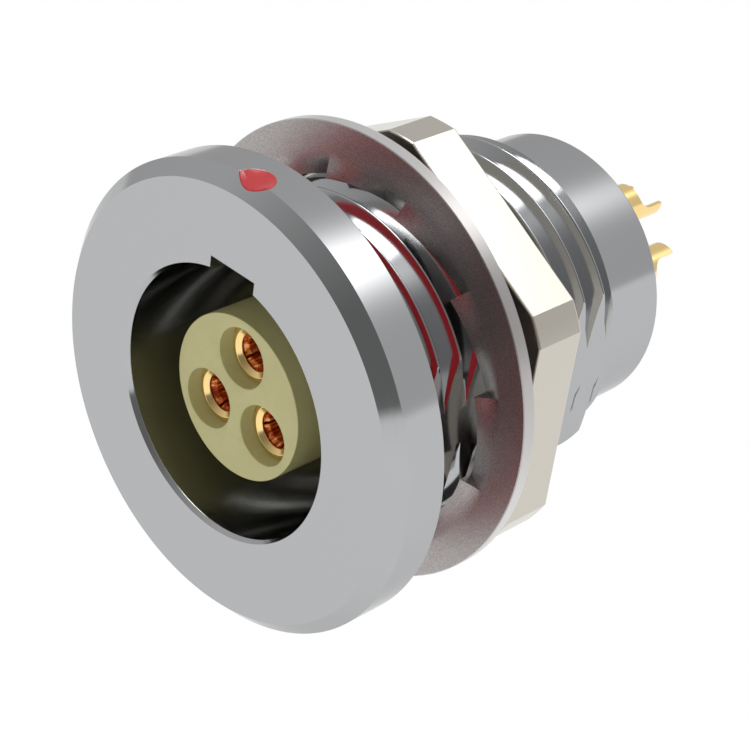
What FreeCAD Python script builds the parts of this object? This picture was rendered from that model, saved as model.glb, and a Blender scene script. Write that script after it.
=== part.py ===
import FreeCAD, Part
import math
import os

from FreeCAD import Vector

# Round push-pull socket for panel mounting, 16 mm across its flange, in millimetres.
# The origin is the centre of the flange's back face, which seats on the panel.
# +Y runs along the connector's axis to the rear, +Z points at the keyway, +X to the right.

# Threaded barrel with its two flats, and the plain rear end
THREAD_R = 6.0
FLAT_DEPTH = 0.75
BARREL_LENGTH = 11.5
BARREL_END_CHAMFER = 0.6
REAR_STEP = 1.0
REAR_LENGTH = 2.6

# Flange, which reaches out past the thread
FLANGE_REACH = 2.0
FLANGE_THICKNESS = 2.0
FLANGE_CHAMFER = 0.5

# Plug bore, with its lead-in, keyway and latch groove
BORE_R = 4.6
LEAD_IN_WIDTH = 0.13
LEAD_IN_DEPTH = 0.25
BORE_DEPTH = 8.6
KEYWAY_WIDTH = 2.0
KEYWAY_TOP = 5.03
KEYWAY_DEPTH = 5.6
LATCH_GROOVE_DISTANCE = 5.6
LATCH_GROOVE_WIDTH = 1.2
LATCH_GROOVE_DEPTH = 0.3

# Inner shoulder and rear bore, which holds the core
SHOULDER_THICKNESS = 0.6
SHOULDER_BORE_R = 3.9
CORE_BORE_R = 4.2

# Alignment dot, the dimple of a drill's point on the edge of the chamfer, coated with paint
DOT_R = 0.73
DOT_POINT_ANGLE = 118.0
DOT_PAINT = 0.08
DOT_SUNK = 0.02

# Flat seal behind the flange
SEAL_REACH = 1.3
SEAL_THICKNESS = 0.5

# Lock washer with twisted inner teeth
WASHER_RIM = 1.1
TOOTH_BEND = 0.15
WASHER_THICKNESS = 0.5
WASHER_DISTANCE = 3.6
TOOTH_COUNT = 12
TOOTH_GAP = 0.35
TOOTH_TWIST = 27.0

# Hexagon nut
NUT_WALL = 1.0
NUT_CORNER_REACH = 0.79
NUT_THICKNESS = 2.0
NUT_DISTANCE = 4.83
NUT_BORE_CHAMFER = 0.25

# Earthing crown, a slotted spring ring pressed against the shoulder
CROWN_RING_LENGTH = 0.6
CROWN_FINGER_LENGTH = 1.1
CROWN_THICKNESS = 0.2
CROWN_LEAN = 0.15
CROWN_SLOTS = 8
CROWN_SLOT_WIDTH = 0.4

# Insulating core, in two halves that trap the contacts' collars
CORE_NOSE_R = 2.85
CORE_SETBACK = 0.78
CORE_NOSE_REST = 0.4
CORE_COLLAR_LENGTH = 1.16
CORE_BOSS_RECESS = 0.2
O_RING_SECTION_R = 0.4
O_RING_SIDES = 8

# Threaded ring that holds the core in
RETAINER_LENGTH = 1.6
RETAINER_RECESS = 0.9
RETAINER_WALL = 0.98
RETAINER_SLOT_WIDTH = 1.0
RETAINER_SLOT_DEPTH = 0.6

# Contacts
CONTACT_COUNT = 3
CONTACT_PITCH_R = 1.5
CONTACT_SETBACK = 0.5
CONTACT_BORE_R = 0.6
CONTACT_BORE_DEPTH = 3.5
TINE_WALL = 0.14
TINE_LENGTH = 3.0
TINE_SLOT = 0.18
NECK_LENGTH = 0.8
COLLAR_STEP = 0.3
COLLAR_LENGTH = 1.2
HOOD_WALL = 0.08
HOOD_LIP = 0.17
HOOD_LIP_INSET = 0.2
HOOD_LIP_FLARE = 0.11
WELL_CLEARANCE = 0.18
CUP_WALL = 0.25
CUP_DEPTH = 3.6
CUP_SCOOP_LENGTH = 1.4
CUP_SCOOP_REST = 0.05
TAIL_REACH = 5.1

# Clearances
RUNNING_GAP = 0.05
SEAT_GAP = 0.03
TOOTH_CLEARANCE = 0.12

AXIS = Vector(0, 1, 0)
FULL_TURN = 360.0

# Radii that follow from the thread
FLANGE_R = THREAD_R + FLANGE_REACH
FLAT_HALF_WIDTH = THREAD_R - FLAT_DEPTH
REAR_R = THREAD_R - REAR_STEP
SEAL_OUTER_R = THREAD_R + SEAL_REACH
WASHER_R = FLANGE_R
WASHER_ROOT_R = WASHER_R - WASHER_RIM
TOOTH_BEND_R = WASHER_ROOT_R - TOOTH_BEND
NUT_FLAT_R = THREAD_R + NUT_WALL

# Radii that follow from the contact's bore
HOOD_BORE_R = CONTACT_BORE_R + TINE_WALL + SEAT_GAP
CONTACT_R = HOOD_BORE_R + HOOD_WALL
CONTACT_WELL_R = CONTACT_R + WELL_CLEARANCE
COLLAR_R = CONTACT_R + COLLAR_STEP
HOOD_LIP_R = CONTACT_R - HOOD_LIP_INSET
CUP_BORE_R = CONTACT_R - CUP_WALL
CUP_SCOOP_R = CONTACT_R - CUP_SCOOP_REST

# Places along the axis that several pieces share
FRONT_FACE = -FLANGE_THICKNESS
SHOULDER_FRONT = FRONT_FACE + BORE_DEPTH
SHOULDER_BACK = SHOULDER_FRONT + SHOULDER_THICKNESS
SHELL_END = BARREL_LENGTH + REAR_LENGTH
CORE_FRONT = FRONT_FACE + CORE_SETBACK
COLLAR_FRONT = SHOULDER_BACK + 2 * (O_RING_SECTION_R + SEAT_GAP)
CORE_SPLIT = COLLAR_FRONT + CORE_COLLAR_LENGTH
CORE_SEAT_BACK = SHELL_END - RETAINER_RECESS - RETAINER_LENGTH
CORE_R = CORE_BORE_R - SEAT_GAP
COLLAR_PLACE = CORE_SPLIT + SEAT_GAP
HOOD_FRONT = CORE_FRONT + CONTACT_SETBACK
TINE_FRONT = HOOD_FRONT + HOOD_LIP + 3 * SEAT_GAP
NECK_START = TINE_FRONT + CONTACT_BORE_DEPTH
HOOD_END = NECK_START + NECK_LENGTH
TAIL_END = SHELL_END + TAIL_REACH


def cylinder(radius, start, end):
    """Solid cylinder on the connector's axis."""
    return Part.makeCylinder(radius, end - start, Vector(0, start, 0), AXIS)


def turned(outline):
    """Solid of revolution about the axis from a closed outline of (radius, y) points."""
    points = [Vector(radius, y, 0) for radius, y in outline]
    face = Part.Face(Part.makePolygon(points + points[:1]))
    return face.revolve(Vector(0, 0, 0), AXIS, FULL_TURN)


def about_axis(shape, degrees):
    """Copy turned about the axis, from +Z towards -X for a positive angle."""
    copy = shape.copy()
    copy.rotate(Vector(0, 0, 0), AXIS, -degrees)
    return copy


def contact_angles():
    """Angles of the contacts from the keyway, evenly spaced from the top one."""
    return [index * FULL_TURN / CONTACT_COUNT for index in range(CONTACT_COUNT)]


def contact_place(shape, degrees):
    """Moves a shape made on the axis out to the top contact's place and turns it round."""
    copy = shape.copy()
    copy.translate(Vector(0, 0, CONTACT_PITCH_R))
    return about_axis(copy, degrees)


def at_contacts(shape):
    """One compound of a shape at every contact's place."""
    return Part.makeCompound([contact_place(shape, angle) for angle in contact_angles()])


def flange_outline_solid():
    """Flange without its bore, chamfered at the front rim."""
    return turned([
        (0, FRONT_FACE),
        (FLANGE_R - FLANGE_CHAMFER, FRONT_FACE),
        (FLANGE_R, FRONT_FACE + FLANGE_CHAMFER),
        (FLANGE_R, 0),
        (0, 0),
    ])


def dot_drill(raised):
    """Point of the drill that makes the dimple, held off the dimple's bottom by a height."""
    depth = DOT_R / math.tan(math.radians(DOT_POINT_ANGLE / 2))
    tip = Vector(0, FRONT_FACE + FLANGE_CHAMFER, FLANGE_R - depth + raised)
    return Part.makeCone(0, 2 * DOT_R, 2 * depth, tip, Vector(0, 0, 1))


def barrel():
    """Threaded barrel at its crest radius, milled with two flats for the panel's cut-out."""
    body = turned([
        (0, 0),
        (THREAD_R, 0),
        (THREAD_R, BARREL_LENGTH - BARREL_END_CHAMFER),
        (THREAD_R - BARREL_END_CHAMFER, BARREL_LENGTH),
        (0, BARREL_LENGTH),
    ])
    slab = Part.makeBox(
        2 * FLAT_HALF_WIDTH, BARREL_LENGTH, 2 * THREAD_R,
        Vector(-FLAT_HALF_WIDTH, 0, -THREAD_R),
    )
    return body.common(slab)


def rear_end():
    """Plain round end behind the thread."""
    return turned([
        (0, BARREL_LENGTH),
        (REAR_R, BARREL_LENGTH),
        (REAR_R, SHELL_END),
        (0, SHELL_END),
    ])


def shell_bore():
    """Everything bored out of the shell: plug bore, latch groove, shoulder and core bore."""
    groove_front = FRONT_FACE + LATCH_GROOVE_DISTANCE
    groove_back = groove_front + LATCH_GROOVE_WIDTH
    groove_r = BORE_R + LATCH_GROOVE_DEPTH
    return turned([
        (0, FRONT_FACE),
        (BORE_R + LEAD_IN_WIDTH, FRONT_FACE),
        (BORE_R, FRONT_FACE + LEAD_IN_DEPTH),
        (BORE_R, groove_front),
        (groove_r, groove_front),
        (groove_r, groove_back - LATCH_GROOVE_DEPTH),
        (BORE_R, groove_back),
        (BORE_R, SHOULDER_FRONT),
        (SHOULDER_BORE_R, SHOULDER_FRONT),
        (SHOULDER_BORE_R, SHOULDER_BACK),
        (CORE_BORE_R, SHOULDER_BACK),
        (CORE_BORE_R, SHELL_END),
        (0, SHELL_END),
    ])


def keyway():
    """Flat-topped slot along the top of the plug bore."""
    return Part.makeBox(
        KEYWAY_WIDTH, KEYWAY_DEPTH, KEYWAY_TOP,
        Vector(-KEYWAY_WIDTH / 2, FRONT_FACE, 0),
    )


def outer_shell():
    """Turned brass shell: flange, barrel and rear end in one piece."""
    body = flange_outline_solid().fuse([barrel(), rear_end()])
    body = body.cut(shell_bore()).cut(keyway()).cut(dot_drill(0))
    return body.removeSplitter()


def alignment_dot():
    """Coat of paint on the dimple's cone, level with the chamfer and the rim round its edge."""
    filled = flange_outline_solid().common(dot_drill(DOT_SUNK))
    return filled.cut(dot_drill(DOT_SUNK + DOT_PAINT))


def flange_seal():
    """Flat gasket between the flange and the panel."""
    hole = cylinder(THREAD_R + RUNNING_GAP, 0, SEAL_THICKNESS)
    return cylinder(SEAL_OUTER_R, 0, SEAL_THICKNESS).cut(hole)


def tooth_section(radius, width, twist):
    """Corners of a washer tooth's cross-section at its radius on +X, turned about its own length."""
    middle = WASHER_DISTANCE + WASHER_THICKNESS / 2
    cos_twist = math.cos(math.radians(twist))
    sin_twist = math.sin(math.radians(twist))
    corners = []
    for side, level in ((-1, -1), (1, -1), (1, 1), (-1, 1)):
        across = side * width / 2
        along = level * WASHER_THICKNESS / 2
        corners.append(Vector(
            radius,
            middle + along * cos_twist - across * sin_twist,
            across * cos_twist + along * sin_twist,
        ))
    return corners


def flat_sided_solid(sections):
    """Solid through four-cornered sections, each side between two sections creased once."""
    faces = [
        Part.Face(Part.makePolygon(sections[0] + sections[0][:1])),
        Part.Face(Part.makePolygon(sections[-1] + sections[-1][:1])),
    ]
    for near, far in zip(sections, sections[1:]):
        for index in range(4):
            following = (index + 1) % 4
            halves = (
                (near[index], near[following], far[following]),
                (near[index], far[following], far[index]),
            )
            for corners in halves:
                faces.append(Part.Face(Part.makePolygon(corners + corners[:1])))
    return Part.makeSolid(Part.makeShell(faces))


def washer_tooth():
    """Tooth that starts flat in the sheet and twists towards its tip: one corner forward, one back."""
    tip_r = THREAD_R + TOOTH_CLEARANCE
    middle_r = (TOOTH_BEND_R + tip_r) / 2
    root_r = WASHER_ROOT_R + WASHER_THICKNESS
    chord = 2 * math.sin(math.pi / TOOTH_COUNT)
    root_width = TOOTH_BEND_R * chord - TOOTH_GAP
    return flat_sided_solid([
        tooth_section(root_r, root_width, 0),
        tooth_section(TOOTH_BEND_R, root_width, 0),
        tooth_section(middle_r, middle_r * chord - TOOTH_GAP, TOOTH_TWIST / 2),
        tooth_section(tip_r, tip_r * chord - TOOTH_GAP, TOOTH_TWIST),
    ])


def lock_washer():
    """Sheet washer with its ring of twisted teeth."""
    back = WASHER_DISTANCE + WASHER_THICKNESS
    hole = cylinder(WASHER_ROOT_R, WASHER_DISTANCE, back)
    ring = cylinder(WASHER_R, WASHER_DISTANCE, back).cut(hole)
    tooth = washer_tooth()
    step = FULL_TURN / TOOTH_COUNT
    teeth = [about_axis(tooth, index * step) for index in range(TOOTH_COUNT)]
    return ring.fuse(teeth).removeSplitter()


def hex_nut():
    """Flat hexagon nut with corners turned off and both ends of its bore chamfered."""
    back = NUT_DISTANCE + NUT_THICKNESS
    corner = NUT_FLAT_R / math.cos(math.radians(30))
    points = []
    for index in range(6):
        angle = math.radians(90 + 60 * index)
        points.append(Vector(corner * math.cos(angle), NUT_DISTANCE, corner * math.sin(angle)))
    hexagon = Part.Face(Part.makePolygon(points + points[:1]))
    body = hexagon.extrude(Vector(0, NUT_THICKNESS, 0))
    corner_r = NUT_FLAT_R + NUT_CORNER_REACH
    body = body.common(cylinder(corner_r, NUT_DISTANCE, back))
    bore_r = THREAD_R + RUNNING_GAP
    bore = turned([
        (0, NUT_DISTANCE),
        (bore_r + NUT_BORE_CHAMFER, NUT_DISTANCE),
        (bore_r, NUT_DISTANCE + NUT_BORE_CHAMFER),
        (bore_r, back - NUT_BORE_CHAMFER),
        (bore_r + NUT_BORE_CHAMFER, back),
        (0, back),
    ])
    return body.cut(bore)


def earthing_crown():
    """Slotted ring with its fingers towards the mouth, leaning in to grip the plug's sleeve."""
    outer_r = BORE_R - SEAT_GAP
    inner_r = outer_r - CROWN_THICKNESS
    back = SHOULDER_FRONT - SEAT_GAP
    ring_front = back - CROWN_RING_LENGTH
    tip = ring_front - CROWN_FINGER_LENGTH
    crown = turned([
        (outer_r, back),
        (outer_r, ring_front),
        (outer_r - CROWN_LEAN, tip),
        (inner_r - CROWN_LEAN, tip),
        (inner_r, ring_front),
        (inner_r, back),
    ])
    slot = Part.makeBox(
        CROWN_SLOT_WIDTH, CROWN_FINGER_LENGTH, BORE_R,
        Vector(-CROWN_SLOT_WIDTH / 2, tip, 0),
    )
    step = FULL_TURN / CROWN_SLOTS
    return crown.cut([about_axis(slot, index * step) for index in range(CROWN_SLOTS)])


def front_insulator():
    """Long nose with the contacts' wells, and the collar that seats behind the shell's shoulder."""
    waist_r = CORE_BORE_R - 2 * (O_RING_SECTION_R + SEAT_GAP)
    nose_end = SHOULDER_FRONT - CORE_NOSE_REST
    body = turned([
        (0, CORE_FRONT),
        (CORE_NOSE_R, CORE_FRONT),
        (CORE_NOSE_R, nose_end),
        (waist_r, nose_end),
        (waist_r, COLLAR_FRONT),
        (CORE_R, COLLAR_FRONT),
        (CORE_R, CORE_SPLIT),
        (0, CORE_SPLIT),
    ])
    wells = at_contacts(turned([
        (0, CORE_FRONT),
        (CONTACT_WELL_R, CORE_FRONT),
        (CONTACT_WELL_R, HOOD_END),
        (CONTACT_R + SEAT_GAP, HOOD_END),
        (CONTACT_R + SEAT_GAP, CORE_SPLIT),
        (0, CORE_SPLIT),
    ]))
    return body.cut(wells)


def rear_insulator():
    """Rear half of the core, with a boss that comes out through the retaining ring."""
    boss_r = CORE_BORE_R - RETAINER_WALL - 2 * SEAT_GAP
    boss_end = SHELL_END - CORE_BOSS_RECESS
    body = turned([
        (0, CORE_SPLIT),
        (CORE_R, CORE_SPLIT),
        (CORE_R, CORE_SEAT_BACK),
        (boss_r, CORE_SEAT_BACK),
        (boss_r, boss_end),
        (0, boss_end),
    ])
    pocket_back = COLLAR_PLACE + COLLAR_LENGTH + SEAT_GAP
    wells = at_contacts(turned([
        (0, CORE_SPLIT),
        (COLLAR_R + SEAT_GAP, CORE_SPLIT),
        (COLLAR_R + SEAT_GAP, pocket_back),
        (CONTACT_R + SEAT_GAP, pocket_back),
        (CONTACT_R + SEAT_GAP, boss_end),
        (0, boss_end),
    ]))
    return body.cut(wells)


def insert_o_ring():
    """Ring seal squeezed flat where it meets the shoulder, the bore, the waist and the collar."""
    mean_r = CORE_BORE_R - O_RING_SECTION_R - SEAT_GAP
    place = SHOULDER_BACK + O_RING_SECTION_R + SEAT_GAP
    outline = []
    half_side = FULL_TURN / O_RING_SIDES / 2
    reach = O_RING_SECTION_R / math.cos(math.radians(half_side))
    for index in range(O_RING_SIDES):
        angle = math.radians(half_side * (2 * index + 1))
        outline.append((mean_r + reach * math.cos(angle), place + reach * math.sin(angle)))
    return turned(outline)


def retaining_ring():
    """Ring screwed into the rear bore behind the core, with two spanner slots."""
    end = CORE_SEAT_BACK + RETAINER_LENGTH
    ring = cylinder(CORE_R, CORE_SEAT_BACK, end)
    ring = ring.cut(cylinder(CORE_R - RETAINER_WALL, CORE_SEAT_BACK, end))
    slots = Part.makeBox(
        2 * CORE_BORE_R, RETAINER_SLOT_DEPTH, RETAINER_SLOT_WIDTH,
        Vector(-CORE_BORE_R, end - RETAINER_SLOT_DEPTH, -RETAINER_SLOT_WIDTH / 2),
    )
    return ring.cut(slots)


def contact_hood():
    """Sleeve with a rounded closed-entry lip, pressed over the contact's neck."""
    lip_back = HOOD_FRONT + HOOD_LIP
    flare_r = HOOD_LIP_R + HOOD_LIP_FLARE
    return turned([
        (flare_r, HOOD_FRONT),
        (CONTACT_R, HOOD_FRONT),
        (CONTACT_R, HOOD_END - SEAT_GAP),
        (HOOD_BORE_R, HOOD_END - SEAT_GAP),
        (HOOD_BORE_R, lip_back),
        (HOOD_LIP_R, lip_back),
    ])


def cup_scoop():
    """Cutter that opens the solder cup's outer side, with a rounded start."""
    start = TAIL_END - CUP_SCOOP_LENGTH
    run = start + CUP_SCOOP_R
    low = CONTACT_R - CUP_SCOOP_R
    high = 2 * CONTACT_R
    end = TAIL_END + SEAT_GAP
    slant = CUP_SCOOP_R * math.sin(math.radians(45))
    side = -2 * CONTACT_R
    middle = Vector(side, run - slant, CONTACT_R - slant)
    arc = Part.Arc(Vector(side, start, CONTACT_R), middle, Vector(side, run, low))
    straight = Part.makePolygon([
        Vector(side, run, low),
        Vector(side, end, low),
        Vector(side, end, high),
        Vector(side, start, high),
        Vector(side, start, CONTACT_R),
    ])
    outline = Part.Wire([arc.toShape()] + straight.Edges)
    return Part.Face(outline).extrude(Vector(4 * CONTACT_R, 0, 0))


def contact_body():
    """One turned contact: slotted spring tube, neck, collar, shank and solder cup."""
    collar_back = COLLAR_PLACE + COLLAR_LENGTH
    tine_r = CONTACT_BORE_R + TINE_WALL
    body = turned([
        (0, TINE_FRONT),
        (tine_r, TINE_FRONT),
        (tine_r, HOOD_END),
        (CONTACT_R, HOOD_END),
        (CONTACT_R, COLLAR_PLACE),
        (COLLAR_R, COLLAR_PLACE),
        (COLLAR_R, collar_back),
        (CONTACT_R, collar_back),
        (CONTACT_R, TAIL_END),
        (0, TAIL_END),
    ])
    pin_bore = cylinder(CONTACT_BORE_R, TINE_FRONT, TINE_FRONT + CONTACT_BORE_DEPTH)
    cup_bore = cylinder(CUP_BORE_R, TAIL_END - CUP_DEPTH, TAIL_END)
    slot = Part.makeBox(
        4 * CONTACT_R, TINE_LENGTH, TINE_SLOT,
        Vector(-2 * CONTACT_R, TINE_FRONT, -TINE_SLOT / 2),
    )
    slots = [about_axis(slot, angle) for angle in (45, 135)]
    return body.cut([pin_bore, cup_bore, cup_scoop()] + slots)


def pieces():
    """Every piece of the connector under its node's name."""
    made = {
        "outer_shell": outer_shell(),
        "alignment_dot": alignment_dot(),
        "flange_seal": flange_seal(),
        "lock_washer": lock_washer(),
        "hex_nut": hex_nut(),
        "earthing_crown": earthing_crown(),
        "front_insulator": front_insulator(),
        "rear_insulator": rear_insulator(),
        "insert_o_ring": insert_o_ring(),
        "retaining_ring": retaining_ring(),
    }
    hood = contact_hood()
    body = contact_body()
    for number, angle in enumerate(contact_angles(), start=1):
        made[f"contact_hood_{number}"] = contact_place(hood, angle)
        made[f"contact_body_{number}"] = contact_place(body, angle)
    return made


os.makedirs("parts", exist_ok=True)
for name, shape in pieces().items():
    solid = shape.Solids[0] if len(shape.Solids) == 1 else shape
    solid.exportStep(os.path.join("parts", name + ".step"))
    print(name, len(shape.Solids), round(shape.Volume, 3), shape.isValid())
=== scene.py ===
import math

import bmesh
import bpy
from mathutils import Matrix, Vector


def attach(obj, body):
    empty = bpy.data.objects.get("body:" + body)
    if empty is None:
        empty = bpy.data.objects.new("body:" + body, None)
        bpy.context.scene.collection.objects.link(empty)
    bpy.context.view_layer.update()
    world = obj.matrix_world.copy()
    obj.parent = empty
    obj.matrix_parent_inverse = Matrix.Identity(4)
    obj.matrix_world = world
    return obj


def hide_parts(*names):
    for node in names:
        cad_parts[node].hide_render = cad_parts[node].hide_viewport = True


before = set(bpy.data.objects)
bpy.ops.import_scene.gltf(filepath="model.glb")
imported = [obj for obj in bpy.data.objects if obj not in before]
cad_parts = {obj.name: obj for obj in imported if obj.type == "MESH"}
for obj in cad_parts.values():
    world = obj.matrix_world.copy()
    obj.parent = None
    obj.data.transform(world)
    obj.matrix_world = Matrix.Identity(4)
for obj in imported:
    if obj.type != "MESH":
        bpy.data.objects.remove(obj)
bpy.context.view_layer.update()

# Studio
# A pale floor well below the connector, a pale room whose upper front side is dim, a soft lamp
# behind and one overhead, and a soft front light. Chrome shows the room, so it is part of the
# finish; the front light only lifts the plastic, the rubber and the enamel.
MM = 0.001
FLOOR_LEVEL = -32.0
FLOOR_SIZE = 4000.0
FLOOR_LEFT = -200.0
FLOOR_PALE = (0.70, 0.70, 0.70, 1.0)
FLOOR_GLOW = 0.96
FLOOR_SHEEN = 0.80
ROOM_BELOW = 1.0
ROOM_ABOVE = 0.62
ROOM_DIM = 0.20
DIM_SIDE = (0.57, -0.82, 0.0)
DIM_EDGE = (-0.10, 0.80)
LAMP_SIDE = (0.165, 0.485, 0.859)
LAMP_STRENGTH = 5.0
LAMP_NARROWNESS = 42.0
OVERHEAD_SIDE = (-0.24, 0.12, 0.963)
OVERHEAD_STRENGTH = 6.0
OVERHEAD_EDGE = (0.938, 0.958)
HORIZON_HEIGHT = -0.03
HORIZON_TILT = 0.13
HORIZON_SOFTNESS = 0.035
FRONT_LIGHT_SIDE = (0.25, -0.88, 0.40)
FRONT_LIGHT_DISTANCE = 300.0
FRONT_LIGHT_SIZE = 160.0
FRONT_LIGHT_POWER = 0.19
PLAIN_WHITE = (1.0, 1.0, 1.0, 1.0)


def add_node(tree, kind, inputs=None, **settings):
    """Node in a tree, with its inputs set to a value or joined to another node's output."""
    made = tree.nodes.new(kind)
    for name, value in settings.items():
        setattr(made, name, value)
    for name, value in (inputs or {}).items():
        if isinstance(value, bpy.types.NodeSocket):
            tree.links.new(value, made.inputs[name])
        else:
            made.inputs[name].default_value = value
    return made


def reckon(tree, operation, first, second=0.0):
    """Output of a sum of two numbers."""
    return add_node(
        tree, "ShaderNodeMath", {0: first, 1: second}, operation=operation
    ).outputs[0]


def toward(tree, looking, side):
    """How nearly a look goes towards a side: one straight at it, nothing square to it."""
    return add_node(
        tree, "ShaderNodeVectorMath", {0: looking, 1: side}, operation="DOT_PRODUCT"
    ).outputs["Value"]


def between(tree, value, low, high, least=0.0, most=1.0, easing="LINEAR"):
    """Output that goes from least to most while a value goes from low to high."""
    return add_node(tree, "ShaderNodeMapRange", {
        "Value": value, "From Min": low, "From Max": high, "To Min": least, "To Max": most,
    }, interpolation_type=easing).outputs["Result"]


room = bpy.data.worlds.new("pale_room")
bpy.context.scene.world = room
room.use_nodes = True
tree = room.node_tree
tree.nodes.clear()
looking = add_node(tree, "ShaderNodeTexCoord").outputs["Generated"]
sides = add_node(tree, "ShaderNodeSeparateXYZ", {0: looking})
height = reckon(
    tree, "SUBTRACT", sides.outputs["Z"], reckon(tree, "MULTIPLY", sides.outputs["X"], HORIZON_TILT)
)
dimming = between(
    tree, toward(tree, looking, DIM_SIDE), *DIM_EDGE, least=ROOM_ABOVE, most=ROOM_DIM
)
rise = between(
    tree, height, HORIZON_HEIGHT - HORIZON_SOFTNESS, HORIZON_HEIGHT + HORIZON_SOFTNESS,
    easing="SMOOTHSTEP",
)
upper = reckon(tree, "MULTIPLY", dimming, rise)
lower = reckon(tree, "MULTIPLY", reckon(tree, "SUBTRACT", 1.0, rise), ROOM_BELOW)
aside = reckon(tree, "SUBTRACT", toward(tree, looking, LAMP_SIDE), 1.0)
fall_off = reckon(tree, "EXPONENT", reckon(tree, "MULTIPLY", aside, LAMP_NARROWNESS))
lamp = reckon(tree, "MULTIPLY", fall_off, LAMP_STRENGTH)
overhead = between(
    tree, toward(tree, looking, OVERHEAD_SIDE), *OVERHEAD_EDGE,
    most=OVERHEAD_STRENGTH, easing="SMOOTHSTEP",
)
lamps = reckon(tree, "ADD", lamp, overhead)
brightness = reckon(tree, "ADD", reckon(tree, "ADD", upper, lower), lamps)
glow = add_node(tree, "ShaderNodeBackground", {"Color": PLAIN_WHITE, "Strength": brightness})
backdrop = add_node(tree, "ShaderNodeBackground", {"Color": PLAIN_WHITE, "Strength": 1.0})
straight = add_node(tree, "ShaderNodeLightPath").outputs["Is Camera Ray"]
behind = add_node(
    tree, "ShaderNodeMixShader", {0: straight, 1: glow.outputs[0], 2: backdrop.outputs[0]}
)
add_node(tree, "ShaderNodeOutputWorld", {"Surface": behind.outputs[0]})

floor_finish = bpy.data.materials.new("pale_floor")
floor_finish.use_nodes = True
tree = floor_finish.node_tree
tree.nodes.clear()
seen = add_node(tree, "ShaderNodeLightPath")
mirrored = reckon(
    tree, "MAXIMUM", seen.outputs["Is Glossy Ray"], seen.outputs["Is Transmission Ray"]
)
share = reckon(
    tree, "ADD", reckon(tree, "MULTIPLY", seen.outputs["Is Camera Ray"], FLOOR_GLOW),
    reckon(tree, "MULTIPLY", mirrored, FLOOR_SHEEN),
)
paint = add_node(tree, "ShaderNodeBsdfDiffuse", {"Color": FLOOR_PALE})
white = add_node(tree, "ShaderNodeEmission", {"Color": PLAIN_WHITE, "Strength": 1.0})
mixed = add_node(tree, "ShaderNodeMixShader", {0: share, 1: paint.outputs[0], 2: white.outputs[0]})
add_node(tree, "ShaderNodeOutputMaterial", {"Surface": mixed.outputs[0]})

half = FLOOR_SIZE / 2 * MM
left = FLOOR_LEFT * MM
floor_mesh = bpy.data.meshes.new("floor")
floor_mesh.from_pydata(
    [
        (x, y, FLOOR_LEVEL * MM)
        for x, y in ((left, -half), (half, -half), (half, half), (left, half))
    ],
    [], [(0, 1, 2, 3)],
)
floor_mesh.materials.append(floor_finish)
floor = bpy.data.objects.new("floor", floor_mesh)
bpy.context.collection.objects.link(floor)

soft_light = bpy.data.lights.new("front_light", "AREA")
soft_light.size = FRONT_LIGHT_SIZE * MM
soft_light.energy = FRONT_LIGHT_POWER
front_light = bpy.data.objects.new("front_light", soft_light)
bpy.context.collection.objects.link(front_light)
aim = Vector(FRONT_LIGHT_SIDE).normalized()
front_light.location = aim * FRONT_LIGHT_DISTANCE * MM
front_light.rotation_euler = aim.to_track_quat("Z", "Y").to_euler()
front_light.visible_glossy = False

# Camera
# A long lens that looks down at the connector's face from its right, rolled a little. It stands
# where the edges of the flange, the washer, the nut and the rear end fall on the photograph's.
EYE = Vector((41.446855, -42.488699, 38.706167))
TO_THE_RIGHT = Vector((0.696260, 0.707212, 0.122769))
UPWARD = Vector((-0.457736, 0.305716, 0.834875))
BACKWARD = Vector((0.552901, -0.637486, 0.536574))
LENS = 104.87
SENSOR_WIDTH = 36.0
NEAREST_SEEN = 1.0
FARTHEST_SEEN = 10 * FLOOR_SIZE

lens = bpy.data.cameras.new("camera")
lens.sensor_width = SENSOR_WIDTH
lens.lens = LENS
lens.clip_start = NEAREST_SEEN * MM
lens.clip_end = FARTHEST_SEEN * MM
camera = bpy.data.objects.new("camera", lens)
bpy.context.collection.objects.link(camera)
turned_to = Matrix((TO_THE_RIGHT, UPWARD, BACKWARD)).transposed().to_4x4()
camera.matrix_world = Matrix.Translation(EYE * MM) @ turned_to
bpy.context.scene.camera = camera
bpy.context.scene.view_settings.view_transform = "Standard"

# Outer shell
# One turned brass piece: flange, threaded barrel and plain rear end, satin chromed all over.
# The thread is cut first, then two flats are milled through it for the panel's cut-out.
CHROME = (0.470, 0.475, 0.482, 1.0)
CHROME_EDGE_ON = (0.75, 0.75, 0.75, 1.0)
REAMED_CHROME = (0.56, 0.56, 0.55, 1.0)
FLANGE_R = 8.0
FLANGE_CHAMFER = 0.5
FRONT_FACE = -2.0
THREAD_R = 5.95
THREAD_ROOT_R = 5.30
THREAD_PITCH = 1.0
THREAD_TURNS = range(-3, 12)
FLANK_ANGLE = 30.0
CREST_ROUNDING = 0.05
CREST_MARGIN = 0.03
CREST_ANGLES = (-60, -40, -20, 0, 20, 40, 60)
LAND_SHARES = (-1.0, -0.67, -0.33, 0.0, 0.33, 0.67, 1.0)
FIRST_CREST = 2.2
FIRST_CREST_ANGLE = 29.0
FLAT_HALF_WIDTH = 5.25
COLUMN_STEP = 1.5
BARREL_START_R = 6.2
BARREL_END = 11.5
BARREL_CHAMFER = 0.93
REAR_R = 5.0
REAR_BEVEL = 0.12
SHELL_END = 14.1
BORE_R = 4.6
MOUTH_R = 4.72
MOUTH_DEPTH = 0.16
GROOVE_R = 4.9
GROOVE_FRONT = 3.6
GROOVE_BACK = 4.5
GROOVE_RUN_OUT = 4.8
SHOULDER_BORE_R = 3.9
SHOULDER_FRONT = 6.6
SHOULDER_BACK = 7.2
CORE_BORE_R = 4.2
KEYWAY_HALF_WIDTH = 1.0
KEYWAY_BOTTOM = 3.0
KEYWAY_TOP = 5.03
KEYWAY_END = 3.6
REAMED_R = 5.2
REAMED_FRONT = FRONT_FACE + 0.19
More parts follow.
